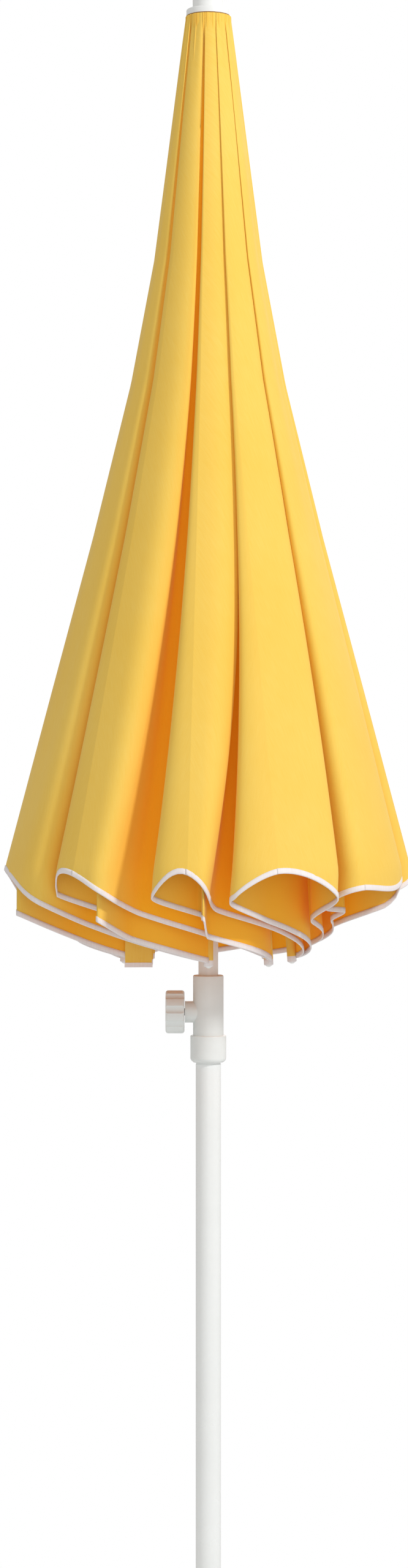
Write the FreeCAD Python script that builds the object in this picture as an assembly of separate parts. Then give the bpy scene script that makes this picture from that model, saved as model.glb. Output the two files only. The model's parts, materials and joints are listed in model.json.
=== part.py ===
import FreeCAD
import Part
import math
import os

# Folded beach parasol on a two-part pole. Millimetres, +Z up, the pole's axis is Z.
# The origin is the centre of the pole's foot. Azimuth 0 is +X and grows towards +Y.

# ---- Fits ----
RUN_FIT = 0.05             # radial gap of a turning or sliding fit
SET_FIT = 0.02             # radial gap of a fastener or plug that stays put
SOFT_GAP = 0.3             # air kept beside cloth and loose parts
EXTRA = 1.0                # how far a cutting tool runs past what it cuts

# ---- Lower pole ----
LOWER_POLE_WALL = 1.2
TELESCOPE_GAP = 1.8        # radial room between the two poles
LOWER_POLE_TOP = 1000.0
FOOT_FLANGE = 4.0
FOOT_SPIGOT = 26.0

# ---- Height clamp ----
HOUSING_WALL = 3.0         # round the lower pole
HOUSING_RISE = 63.0        # above the lower pole's end
HOUSING_GRIP = 34.0        # below the lower pole's end
HOUSING_NECK = 0.5         # the lower pole is swaged in by this where the housing grips
HOUSING_NECK_SHOWS = 2.0   # of that neck, below the housing
HOUSING_COLLAR_T = 3.0     # of the collar outside the housing
HOUSING_COLLAR_H = 30.0
HOUSING_ROUND = 5.0
HOUSING_TOP_ROUND = 1.5
CLAMP_RISE = 22.0          # of the screw above the lower pole's end
BOSS_D = 24.0
BOSS_PROUD = 12.0          # of the boss's outer face outside the lower pole
NUT_FLATS = 13.0
NUT_H = 6.5
SCREW_D = 8.0
PAD_D = 10.0
PAD_H = 3.0
KNOB_TRAVEL = 2.5          # of the pad and the screw, from tight to loose
KNOB_D = 48.0
KNOB_H = 21.0
KNOB_ROUND = 3.0
KNOB_GAP = 0.6             # between the boss and the knob
KNOB_FLUTES = 9
KNOB_FLUTE_D = 12.0
KNOB_FLUTE_DEPTH = 2.2
KNOB_SCREW_DEPTH = 14.0

# ---- Upper pole ----
UPPER_POLE_D = 22.0
UPPER_POLE_WALL = 1.2
POLE_INSERTION = 440.0     # of the upper pole in the lower one, pushed right in
BUSH_H = 30.0
BUSH_SPIGOT = 40.0
BUSH_PLAY = 0.1            # radial gap between the bush and the lower pole

# ---- Crown ----
CROWN_RISE = 1118.0        # of the crown's pivots above the lower pole's end
PIVOT_PIN_D = 3.0
HUB_RIM = 7.0              # of the hub outside the pivot circle
HUB_BELOW = 14.0           # hub below the pivot circle
HUB_ABOVE = 13.0           # hub above the pivot circle
HUB_CORE_WALL = 1.55       # between the pole and the floor of the slots
SLOT_GAP = 0.25            # on each side of a rib's eye
CROWN_PIN_L = 9.0
PATCH_T = 1.0
COLLAR_LIP = 0.5           # of the collar outside the hub
COLLAR_H = 7.0
CAP_D = 35.0
CAP_H = 46.0
CAP_WALL = 2.0
CAP_DOME = 9.0
CAP_BOSS_D = 12.0
STUD_D = 6.0
STUD_BELOW = 26.0
STUD_ABOVE = 34.0
TOP_PLUG_H = 34.0

# ---- Ribs and stretchers ----
RIBS = 8
RIB_TILT = 4.2             # degrees from the vertical when folded
RIB_LENGTH = 1040.0
RIB_D = 4.8
EYE_WALL = 2.7             # round a pin
EYE_W = 5.0
JOINT_EYE_WALL = 3.1       # round a rivet
ARM = 440.0                # crown pivot to rib joint, and rib joint to runner pivot
TIP_D = 8.0
TIP_GRIP = 26.0
TIP_NOSE = 5.0
CHEEK_W = 8.0
CHEEK_T = 1.2
CHEEK_GAP = 0.3            # beside the rib's eye
WEB_T = 1.2
WEB_FROM_RIB = 50.0
WEB_FROM_RUNNER = 22.0
RIVET_HEAD_D = 5.2
RIVET_HEAD_H = 0.8

# ---- Runner and its latch ----
RUNNER_PLAY = 0.1
NECK_GAP = 0.2             # between the neck and the stretchers' eyes
TONGUE_PROUD = 4.4         # of the tongues outside the pivot circle
TONGUE_H = 10.0
FLANGE_PROUD = 2.0         # outside the pivot circle
FLANGE_DROP = 6.0          # from the pivot circle to the flange's top
FLANGE_H = 7.0
GRIP_WALL = 4.5            # outside the upper pole
GRIP_BOTTOM = 74.0         # below the pivot circle
LATCH_DROP = 46.0
LATCH_BOSS_D = 13.0
LATCH_BOSS_PROUD = 14.0    # this and the next three: outside the upper pole
LATCH_PIN_D = 5.0
LATCH_TIP_GAP = 0.3
LATCH_CAVITY_D = 9.2
LATCH_CAVITY_IN = 2.2
LATCH_CAVITY_OUT = 12.0
LATCH_SHOULDER_D = 8.4
LATCH_SHOULDER_H = 1.2
LATCH_SHOULDER_IN = 2.6
LATCH_KNOB_D = 12.0
LATCH_KNOB_H = 7.0
SPRING_WIRE = 0.6
SPRING_TURNS = 5

# ---- Canopy ----
# One gore lies between rib k and rib k + 1. It is folded at its middle, and the fold is
# wrapped clockwise, seen from above, round the ribs. Azimuth and radius of each fold's hem.
FOLD_HEM = [(-70, 216.5), (-40, 220), (4, 227), (63, 225),
            (126, 225), (188, 227), (228, 216), (264, 213)]
HEM_RISE = 104.0           # of a fold's hem above a rib's length down from the crown
CLOTH_T = 0.4
CLOTH_TOP_DROP = 33.0      # below the crown's pivots
CLOTH_STEP = 1.3           # between the two layers that start at one rib
SEAM_GAP = 0.2             # between the ribs' eyes and the cloth over them
# Radius of the folded canopy, as (drop below the collar, share of the hem's radius).
FOLD_PROFILE = [(0, 0.11), (35, 0.131), (172, 0.209), (274, 0.268),
                (411, 0.382), (582, 0.568), (752, 0.769), (949, 1.0)]
CLOTH_ROWS = 5
CLOTH_COLUMN_DEG = 13.0    # widest step round the pole

# ---- Worked out from the sizes above ----
LOWER_POLE_D = UPPER_POLE_D + 2 * (TELESCOPE_GAP + LOWER_POLE_WALL)
LOWER_R = LOWER_POLE_D / 2
LOWER_BORE_R = LOWER_R - LOWER_POLE_WALL
UPPER_R = UPPER_POLE_D / 2
UPPER_BORE_R = UPPER_R - UPPER_POLE_WALL
UPPER_POLE_FOOT = LOWER_POLE_TOP - POLE_INSERTION
HOUSING_D = LOWER_POLE_D + 2 * HOUSING_WALL
HOUSING_COLLAR_D = HOUSING_D + 2 * HOUSING_COLLAR_T
HOUSING_TOP = LOWER_POLE_TOP + HOUSING_RISE
HOUSING_BOTTOM = LOWER_POLE_TOP - HOUSING_GRIP
SOCKET_WALL = HOUSING_BOTTOM - HOUSING_NECK_SHOWS
CLAMP_Z = LOWER_POLE_TOP + CLAMP_RISE
BOSS_REACH = LOWER_R + BOSS_PROUD
CROWN_PIVOT_Z = LOWER_POLE_TOP + CROWN_RISE
EYE_D = PIVOT_PIN_D + 2 * EYE_WALL
JOINT_EYE_D = PIVOT_PIN_D + 2 * JOINT_EYE_WALL
HUB_CORE_R = UPPER_R + HUB_CORE_WALL
PIVOT_R = HUB_CORE_R + SLOT_GAP + EYE_D / 2    # of the crown and of the runner
HUB_D = 2 * (PIVOT_R + HUB_RIM)
PATCH_D = HUB_D
COLLAR_D = HUB_D + 2 * COLLAR_LIP
RUNNER_NECK_R = PIVOT_R - EYE_D / 2 - NECK_GAP
TONGUE_R = PIVOT_R + TONGUE_PROUD
FLANGE_D = 2 * (PIVOT_R + FLANGE_PROUD)
GRIP_D = UPPER_POLE_D + 2 * GRIP_WALL
LATCH_BOSS_REACH = UPPER_R + LATCH_BOSS_PROUD
LATCH_CAVITY_FROM = UPPER_R + LATCH_CAVITY_IN
LATCH_CAVITY_TO = UPPER_R + LATCH_CAVITY_OUT
LATCH_SHOULDER_FROM = UPPER_R + LATCH_SHOULDER_IN
SEAM_LIFT = max(JOINT_EYE_D, TIP_D) / 2 + SEAM_GAP   # from a rib's centre line
FOLD_HEM_Z = CROWN_PIVOT_Z - RIB_LENGTH + HEM_RISE
CLOTH_TOP_Z = CROWN_PIVOT_Z - CLOTH_TOP_DROP
HUB_TOP_Z = CROWN_PIVOT_Z + HUB_ABOVE
COLLAR_Z = HUB_TOP_Z + PATCH_T
CAP_Z = COLLAR_Z + COLLAR_H
PIN_R = PIVOT_PIN_D / 2
CHEEK_IN = EYE_W / 2 + CHEEK_GAP
CHEEK_OUT = CHEEK_IN + CHEEK_T
TILT = math.radians(RIB_TILT)
RUNNER_PIVOT_Z = CROWN_PIVOT_Z - 2 * ARM * math.cos(TILT)
PAD_BACK = UPPER_R + PAD_H
RIB_STEP = 360.0 / RIBS

X_AXIS = FreeCAD.Vector(1, 0, 0)
Y_AXIS = FreeCAD.Vector(0, 1, 0)
Z_AXIS = FreeCAD.Vector(0, 0, 1)
ORIGIN = FreeCAD.Vector(0, 0, 0)


# ---- Building blocks ----
def rod(radius, z_from, z_to):
    """A cylinder on the pole's axis."""
    return Part.makeCylinder(radius, z_to - z_from, FreeCAD.Vector(0, 0, z_from), Z_AXIS)


def tube(radius, bore, z_from, z_to):
    """A tube on the pole's axis."""
    return rod(radius, z_from, z_to).cut(rod(bore, z_from - EXTRA, z_to + EXTRA))


def rod_x(radius, x_from, x_to, z=0.0):
    """A cylinder along X at height z."""
    return Part.makeCylinder(radius, x_to - x_from, FreeCAD.Vector(x_from, 0, z), X_AXIS)


def rod_y(radius, half_length, x=0.0, z=0.0):
    """A cylinder along Y, centred on the XZ plane."""
    start = FreeCAD.Vector(x, -half_length, z)
    return Part.makeCylinder(radius, 2 * half_length, start, Y_AXIS)


def block(x_from, x_to, y_from, y_to, z_from, z_to):
    """A box between three pairs of limits."""
    corner = FreeCAD.Vector(x_from, y_from, z_from)
    return Part.makeBox(x_to - x_from, y_to - y_from, z_to - z_from, corner)


def moved(shape, x=0.0, y=0.0, z=0.0):
    """A copy of the shape, shifted."""
    copy = shape.copy()
    copy.translate(FreeCAD.Vector(x, y, z))
    return copy


def turned(shape, axis, degrees):
    """A copy of the shape, turned about an axis through the origin."""
    copy = shape.copy()
    copy.rotate(ORIGIN, axis, degrees)
    return copy


def circle_edges(shape, z, radius):
    """The shape's round edges at height z with this radius."""
    found = []
    for edge in shape.Edges:
        curve = edge.Curve
        if isinstance(curve, Part.Circle) and abs(curve.Center.z - z) < 1e-6:
            if abs(curve.Radius - radius) < 1e-6:
                found.append(edge)
    return found


def around(shape, index):
    """A copy of a shape made at azimuth 0, turned to rib number index."""
    return turned(shape, Z_AXIS, index * RIB_STEP)


def one_solid(shape):
    """The single solid that a fused or cut shape holds."""
    return shape.removeSplitter().Solids[0]


# ---- Lower pole and clamp ----
def make_lower_pole():
    pole = tube(LOWER_R, LOWER_BORE_R, FOOT_FLANGE, SOCKET_WALL)
    return pole.fuse(tube(LOWER_R - HOUSING_NECK, LOWER_BORE_R, SOCKET_WALL - EXTRA, LOWER_POLE_TOP)).removeSplitter()


def make_foot_plug():
    flange = rod(LOWER_R, 0, FOOT_FLANGE)
    spigot = rod(LOWER_BORE_R - SET_FIT, 0, FOOT_FLANGE + FOOT_SPIGOT)
    return one_solid(flange.fuse(spigot))


def nut_blank(flats, x_from, x_to):
    """A hexagonal prism along X at the clamp's height."""
    corner_r = flats / math.sqrt(3)
    points = []
    for i in range(7):
        angle = math.radians(60 * i)
        y = corner_r * math.cos(angle)
        points.append(FreeCAD.Vector(x_from, y, CLAMP_Z + corner_r * math.sin(angle)))
    face = Part.Face(Part.makePolygon(points))
    return face.extrude(FreeCAD.Vector(x_to - x_from, 0, 0))


def make_clamp_housing():
    collar_top = HOUSING_BOTTOM + HOUSING_COLLAR_H
    body = rod(HOUSING_D / 2, HOUSING_BOTTOM, HOUSING_TOP)
    collar = rod(HOUSING_COLLAR_D / 2, HOUSING_BOTTOM, collar_top)
    low_edge = circle_edges(collar, HOUSING_BOTTOM, HOUSING_COLLAR_D / 2)
    collar = collar.makeFillet(HOUSING_ROUND, low_edge)
    high_edge = circle_edges(collar, collar_top, HOUSING_COLLAR_D / 2)
    collar = collar.makeFillet(HOUSING_TOP_ROUND, high_edge)
    rim = circle_edges(body, HOUSING_TOP, HOUSING_D / 2)
    body = body.makeFillet(HOUSING_TOP_ROUND, rim)
    boss = rod_x(BOSS_D / 2, -BOSS_REACH, 0, CLAMP_Z)
    housing = body.fuse([collar, boss])
    lower_seat = rod(LOWER_R - HOUSING_NECK + SET_FIT, HOUSING_BOTTOM - EXTRA, LOWER_POLE_TOP)
    upper_bore = rod(UPPER_R + RUN_FIT, LOWER_POLE_TOP - EXTRA, HOUSING_TOP + EXTRA)
    screw_bore = rod_x(SCREW_D / 2 + SOFT_GAP, -BOSS_REACH - EXTRA, 0, CLAMP_Z)
    nut_floor = NUT_H - BOSS_REACH
    nut_pocket = nut_blank(NUT_FLATS + 2 * SET_FIT, -BOSS_REACH - EXTRA, nut_floor)
    pad_room = PAD_BACK + KNOB_TRAVEL + SOFT_GAP
    pad_pocket = rod_x(PAD_D / 2 + RUN_FIT, -pad_room, 0, CLAMP_Z)
    return one_solid(housing.cut([lower_seat, upper_bore, screw_bore, nut_pocket, pad_pocket]))


def make_clamp_nut():
    blank = nut_blank(NUT_FLATS, -BOSS_REACH, NUT_H - BOSS_REACH)
    thread = rod_x(SCREW_D / 2 + RUN_FIT, -BOSS_REACH - EXTRA, 0, CLAMP_Z)
    return one_solid(blank.cut(thread))


def make_clamp_pad():
    pad = rod_x(PAD_D / 2, -PAD_BACK, 0, CLAMP_Z)
    pole = rod(UPPER_R + RUN_FIT, CLAMP_Z - PAD_D, CLAMP_Z + PAD_D)
    far_side = block(0, PAD_D, -PAD_D, PAD_D, CLAMP_Z - PAD_D, CLAMP_Z + PAD_D)
    return one_solid(pad.cut(pole.fuse(far_side)))


def make_clamp_screw():
    inner_end = -PAD_BACK
    outer_end = -BOSS_REACH - KNOB_GAP - KNOB_SCREW_DEPTH
    return rod_x(SCREW_D / 2, outer_end, inner_end, CLAMP_Z)


def make_clamp_knob():
    inner_face = -BOSS_REACH - KNOB_GAP
    knob = rod_x(KNOB_D / 2, inner_face - KNOB_H, inner_face, 0)
    rims = [e for e in knob.Edges if isinstance(e.Curve, Part.Circle)]
    knob = knob.makeFillet(KNOB_ROUND, rims)
    cutters = []
    reach = KNOB_D / 2 + KNOB_FLUTE_D / 2 - KNOB_FLUTE_DEPTH
    for i in range(KNOB_FLUTES):
        flute = rod_x(KNOB_FLUTE_D / 2, inner_face - KNOB_H - EXTRA, inner_face + EXTRA, reach)
        cutters.append(turned(flute, X_AXIS, i * 360.0 / KNOB_FLUTES))
    cutters.append(rod_x(SCREW_D / 2 + SET_FIT, inner_face - KNOB_SCREW_DEPTH, inner_face + EXTRA))
    return moved(one_solid(knob.cut(cutters)), z=CLAMP_Z)


# ---- Upper pole and crown ----
def make_guide_bush():
    flange = rod(LOWER_BORE_R - BUSH_PLAY, UPPER_POLE_FOOT - BUSH_H, UPPER_POLE_FOOT - RUN_FIT)
    spigot = rod(UPPER_BORE_R - RUN_FIT, UPPER_POLE_FOOT - BUSH_H, UPPER_POLE_FOOT + BUSH_SPIGOT)
    return one_solid(flange.fuse(spigot))


def make_upper_pole():
    return tube(UPPER_R, UPPER_BORE_R, UPPER_POLE_FOOT, HUB_TOP_Z)


def make_pole_top_plug():
    plug = rod(UPPER_BORE_R - SET_FIT, HUB_TOP_Z - TOP_PLUG_H, HUB_TOP_Z)
    return plug.cut(rod(STUD_D / 2 + SET_FIT, HUB_TOP_Z - TOP_PLUG_H - EXTRA, HUB_TOP_Z + EXTRA))


def make_crown_hub():
    bottom = CROWN_PIVOT_Z - HUB_BELOW
    hub = tube(HUB_D / 2, UPPER_R + SET_FIT, bottom, HUB_TOP_Z)
    slot_half = EYE_W / 2 + SLOT_GAP
    slot_top = CROWN_PIVOT_Z + EYE_D / 2 + SOFT_GAP
    slot = block(HUB_CORE_R, HUB_D, -slot_half, slot_half, bottom - EXTRA, slot_top)
    hole = rod_y(PIN_R + SET_FIT, CROWN_PIN_L / 2, PIVOT_R, CROWN_PIVOT_Z)
    cutters = [around(tool, i) for i in range(RIBS) for tool in (slot, hole)]
    return one_solid(hub.cut(cutters))


def make_crown_pins():
    pin = rod_y(PIN_R, CROWN_PIN_L / 2 - SET_FIT, PIVOT_R, CROWN_PIVOT_Z)
    return Part.makeCompound([around(pin, i) for i in range(RIBS)])


def make_crown_patch():
    return tube(PATCH_D / 2, STUD_D / 2 + SOFT_GAP, HUB_TOP_Z, COLLAR_Z)


def make_cap_collar():
    collar = rod(COLLAR_D / 2, COLLAR_Z, CAP_Z)
    rim = circle_edges(collar, CAP_Z, COLLAR_D / 2)
    collar = collar.makeFillet(HOUSING_TOP_ROUND, rim)
    return collar.cut(rod(STUD_D / 2 + SOFT_GAP, COLLAR_Z - EXTRA, CAP_Z + EXTRA))


def make_top_cap():
    cap = rod(CAP_D / 2, CAP_Z, CAP_Z + CAP_H)
    cap = cap.makeFillet(CAP_DOME, circle_edges(cap, CAP_Z + CAP_H, CAP_D / 2))
    hollow = tube(CAP_D / 2 - CAP_WALL, CAP_BOSS_D / 2, CAP_Z - EXTRA, CAP_Z + CAP_H - CAP_DOME - CAP_WALL)
    thread = rod(STUD_D / 2 + SET_FIT, CAP_Z - EXTRA, COLLAR_Z + STUD_ABOVE)
    return one_solid(cap.cut([hollow, thread]))


def make_cap_stud():
    return rod(STUD_D / 2, HUB_TOP_Z - STUD_BELOW, COLLAR_Z + STUD_ABOVE)


# ---- Ribs, tips and stretchers ----
def hung(shape, tilt, pivot_x, pivot_z):
    """Takes a shape that hangs down -Z from the origin, tips it outwards and moves it to its pivot."""
    return moved(turned(shape, Y_AXIS, -tilt), x=pivot_x, z=pivot_z)


def make_rib():
    bar = rod(RIB_D / 2, -RIB_LENGTH, 0)
    eyes = [rod_y(EYE_D / 2, EYE_W / 2), rod_y(JOINT_EYE_D / 2, EYE_W / 2, 0, -ARM)]
    rib = bar.fuse(eyes)
    holes = [rod_y(PIN_R + RUN_FIT, EYE_W), rod_y(PIN_R + RUN_FIT, EYE_W, 0, -ARM)]
    return hung(one_solid(rib.cut(holes)), RIB_TILT, PIVOT_R, CROWN_PIVOT_Z)


def make_rib_tip():
    sleeve = rod(TIP_D / 2, -RIB_LENGTH - TIP_NOSE, TIP_GRIP - RIB_LENGTH)
    nose = circle_edges(sleeve, -RIB_LENGTH - TIP_NOSE, TIP_D / 2)
    sleeve = sleeve.makeFillet(TIP_D / 2 - SOFT_GAP, nose)
    bore = rod(RIB_D / 2 + SET_FIT, -RIB_LENGTH, TIP_GRIP - RIB_LENGTH + EXTRA)
    return hung(one_solid(sleeve.cut(bore)), RIB_TILT, PIVOT_R, CROWN_PIVOT_Z)


def make_stretcher():
    """A U-channel that hangs from the rib joint down and inwards to the runner, with its rivet."""
    half_w = CHEEK_W / 2
    outline = block(-half_w, half_w, -CHEEK_OUT, CHEEK_OUT, -ARM, 0)
    ends = [rod_y(half_w, CHEEK_OUT), rod_y(half_w, CHEEK_OUT, 0, -ARM)]
    bar = outline.fuse(ends)
    lane = block(-CHEEK_W, CHEEK_W, -CHEEK_IN, CHEEK_IN, -ARM - CHEEK_W, CHEEK_W)
    web = block(-half_w, WEB_T - half_w, -CHEEK_IN, CHEEK_IN, WEB_FROM_RUNNER - ARM, -WEB_FROM_RIB)
    holes = [rod_y(PIN_R + SET_FIT, CHEEK_W), rod_y(PIN_R + RUN_FIT, CHEEK_W, 0, -ARM)]
    channel = one_solid(bar.cut(lane).fuse(web).cut(holes))
    rivet = rod_y(PIN_R, CHEEK_OUT)
    for side in (1, -1):
        start = FreeCAD.Vector(0, side * CHEEK_OUT, 0)
        head = Part.makeCylinder(RIVET_HEAD_D / 2, RIVET_HEAD_H, start, Y_AXIS * side)
        rivet = rivet.fuse(head)
    pair = Part.makeCompound([channel, one_solid(rivet)])
    joint_x = PIVOT_R + ARM * math.sin(TILT)
    joint_z = CROWN_PIVOT_Z - ARM * math.cos(TILT)
    return hung(pair, -RIB_TILT, joint_x, joint_z)


# ---- Runner and latch ----
def make_runner():
    neck = rod(RUNNER_NECK_R, -FLANGE_DROP, TONGUE_H / 2)
    flange = rod(FLANGE_D / 2, -FLANGE_DROP - FLANGE_H, -FLANGE_DROP)
    grip = rod(GRIP_D / 2, -GRIP_BOTTOM, -FLANGE_DROP)
    grip = grip.makeFillet(HOUSING_TOP_ROUND, circle_edges(grip, -GRIP_BOTTOM, GRIP_D / 2))
    boss = rod_x(LATCH_BOSS_D / 2, 0, LATCH_BOSS_REACH, -LATCH_DROP)
    tongue_half = EYE_W / 2
    tongue = block(UPPER_R, PIVOT_R, -tongue_half, tongue_half, -FLANGE_DROP, TONGUE_H / 2)
    foot = block(PIVOT_R, TONGUE_R, -tongue_half, tongue_half, -FLANGE_DROP, 0)
    tongue = tongue.fuse([foot, rod_y(TONGUE_R - PIVOT_R, tongue_half, PIVOT_R)])
    tongue = tongue.common(block(0, FLANGE_D, -EYE_W, EYE_W, -FLANGE_DROP, TONGUE_H / 2))
    hole = rod_y(PIN_R + SET_FIT, EYE_W, PIVOT_R)
    body = neck.fuse([flange, grip, boss] + [around(tongue, i) for i in range(RIBS)])
    bore = rod(UPPER_R + RUNNER_PLAY, -GRIP_BOTTOM - EXTRA, TONGUE_H)
    cavity = rod_x(LATCH_CAVITY_D / 2, LATCH_CAVITY_FROM, LATCH_CAVITY_TO, -LATCH_DROP)
    pin_bore = rod_x(LATCH_PIN_D / 2 + RUN_FIT, 0, LATCH_BOSS_REACH + EXTRA, -LATCH_DROP)
    cutters = [bore, cavity, pin_bore] + [around(hole, i) for i in range(RIBS)]
    return moved(one_solid(body.cut(cutters)), z=RUNNER_PIVOT_Z)


def make_runner_pins():
    half = CHEEK_OUT + RIVET_HEAD_H
    pin = rod_y(PIN_R, half, PIVOT_R, RUNNER_PIVOT_Z)
    return Part.makeCompound([around(pin, i) for i in range(RIBS)])


def make_latch_plunger():
    tip = UPPER_R + LATCH_TIP_GAP
    knob_from = LATCH_BOSS_REACH + SOFT_GAP
    pin = rod_x(LATCH_PIN_D / 2, tip, knob_from + LATCH_KNOB_H)
    shoulder_to = LATCH_SHOULDER_FROM + LATCH_SHOULDER_H
    shoulder = rod_x(LATCH_SHOULDER_D / 2, LATCH_SHOULDER_FROM, shoulder_to)
    knob = rod_x(LATCH_KNOB_D / 2, knob_from, knob_from + LATCH_KNOB_H)
    rims = [e for e in knob.Edges if isinstance(e.Curve, Part.Circle)]
    knob = knob.makeFillet(HOUSING_TOP_ROUND, rims)
    return moved(one_solid(pin.fuse([shoulder, knob])), z=RUNNER_PIVOT_Z - LATCH_DROP)


def make_latch_spring():
    start = LATCH_SHOULDER_FROM + LATCH_SHOULDER_H + SPRING_WIRE / 2 + RUN_FIT
    length = LATCH_CAVITY_TO - RUN_FIT - SPRING_WIRE / 2 - start
    coil_r = (LATCH_PIN_D + LATCH_CAVITY_D) / 4
    helix = Part.makeHelix(length / SPRING_TURNS, length, coil_r)
    section = Part.Wire(Part.makeCircle(SPRING_WIRE / 2, FreeCAD.Vector(coil_r, 0, 0), Y_AXIS))
    coil = Part.Wire(helix.Edges).makePipeShell([section], True, True)
    return moved(turned(coil, Y_AXIS, 90), x=start, z=RUNNER_PIVOT_Z - LATCH_DROP)


# ---- Canopy ----
def fold_share(z):
    """The folded canopy's radius at height z, as a share of its hem radius."""
    drop = COLLAR_Z - z
    for (d0, s0), (d1, s1) in zip(FOLD_PROFILE, FOLD_PROFILE[1:]):
        if drop <= d1:
            return s0 + (s1 - s0) * (drop - d0) / (d1 - d0)
    return s1


def rib_radius(z):
    """Distance of a folded rib's centre line from the pole's axis."""
    return PIVOT_R + (CROWN_PIVOT_Z - z) * math.tan(TILT)


def cloth_point(gore, out_layer, along, down, lift):
    """A point of one half of a gore: along runs from its rib to the fold, down from top to hem."""
    fold_azimuth, hem_radius = FOLD_HEM[gore]
    rib_azimuth = (gore + (1 if out_layer else 0)) * RIB_STEP
    if fold_azimuth > rib_azimuth:
        fold_azimuth -= 360
    tip_z = CROWN_PIVOT_Z - RIB_LENGTH * math.cos(TILT)
    hem_z = tip_z + along * (FOLD_HEM_Z - tip_z)
    z = CLOTH_TOP_Z + down * (hem_z - CLOTH_TOP_Z)
    step = 0.0 if out_layer else CLOTH_STEP
    start = rib_radius(z) + SEAM_LIFT + step
    end = hem_radius * fold_share(max(z, FOLD_HEM_Z)) - step
    radius = start + along * (end - start) + lift
    azimuth = math.radians(rib_azimuth + along * (fold_azimuth - rib_azimuth))
    return FreeCAD.Vector(radius * math.cos(azimuth), radius * math.sin(azimuth), z)


def quad_faces(a, b, c, d):
    """Two flat triangles that fill a four-cornered patch."""
    faces = []
    for corners in ((a, b, c, a), (a, c, d, a)):
        faces.append(Part.Face(Part.makePolygon(list(corners))))
    return faces


def make_half_gore(gore, out_layer):
    """A thin closed sheet from a rib to the gore's fold."""
    sweep = abs(FOLD_HEM[gore][0] - (gore + (1 if out_layer else 0)) * RIB_STEP)
    columns = int(math.ceil(sweep / CLOTH_COLUMN_DEG))
    skins = []
    for lift in (0.0, CLOTH_T):
        skins.append([[cloth_point(gore, out_layer, i / columns, j / CLOTH_ROWS, lift)
                       for i in range(columns + 1)] for j in range(CLOTH_ROWS + 1)])
    inner, outer = skins
    faces = []
    for j in range(CLOTH_ROWS):
        for i in range(columns):
            for skin in (inner, outer):
                faces += quad_faces(skin[j][i], skin[j][i + 1], skin[j + 1][i + 1], skin[j + 1][i])
        for i in (0, columns):
            faces += quad_faces(inner[j][i], outer[j][i], outer[j + 1][i], inner[j + 1][i])
    for i in range(columns):
        for j in (0, CLOTH_ROWS):
            faces += quad_faces(inner[j][i], outer[j][i], outer[j][i + 1], inner[j][i + 1])
    solid = Part.Solid(Part.Shell(faces))
    if solid.Volume < 0:
        solid.reverse()
    return solid


# ---- The parts ----
def build_parts():
    """Every sub-part's shape, by the name of its node."""
    parts = {
        "lower_pole": make_lower_pole(),
        "foot_plug": make_foot_plug(),
        "clamp_housing": make_clamp_housing(),
        "clamp_nut": make_clamp_nut(),
        "clamp_pad": make_clamp_pad(),
        "clamp_screw": make_clamp_screw(),
        "clamp_knob": make_clamp_knob(),
        "guide_bush": make_guide_bush(),
        "upper_pole": make_upper_pole(),
        "pole_top_plug": make_pole_top_plug(),
        "crown_hub": make_crown_hub(),
        "crown_pins": make_crown_pins(),
        "crown_patch": make_crown_patch(),
        "cap_collar": make_cap_collar(),
        "top_cap": make_top_cap(),
        "cap_stud": make_cap_stud(),
        "runner": make_runner(),
        "runner_pins": make_runner_pins(),
        "latch_plunger": make_latch_plunger(),
        "latch_spring": make_latch_spring(),
    }
    rib = make_rib()
    tip = make_rib_tip()
    stretcher = make_stretcher()
    for i in range(RIBS):
        number = i + 1
        parts[f"rib_{number}"] = around(rib, i)
        parts[f"rib_tip_{number}"] = around(tip, i)
        parts[f"stretcher_{number}"] = around(stretcher, i)
        parts[f"canopy_gore_{number}_inner"] = make_half_gore(i, False)
        parts[f"canopy_gore_{number}_outer"] = make_half_gore(i, True)
    return parts


def main():
    os.makedirs("parts", exist_ok=True)
    for name, shape in build_parts().items():
        shape.exportStep(f"parts/{name}.step")
        print(name, len(shape.Solids), "solids", round(shape.Volume, 1), "mm3", shape.isValid())


if __name__ == "__main__":
    main()
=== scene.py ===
"""Folded beach parasol: a wrapped cloth canopy, its white hem binding and the finishes of its frame.

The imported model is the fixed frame. Everything is in metres, with the pole's axis on Z and the
foot of the lower pole at the origin. Azimuth 0 is +X and grows towards +Y.
"""

from __future__ import annotations

import json
import logging
import math
from collections.abc import Callable
from dataclasses import dataclass, field
from enum import Enum
from functools import cache

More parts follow.
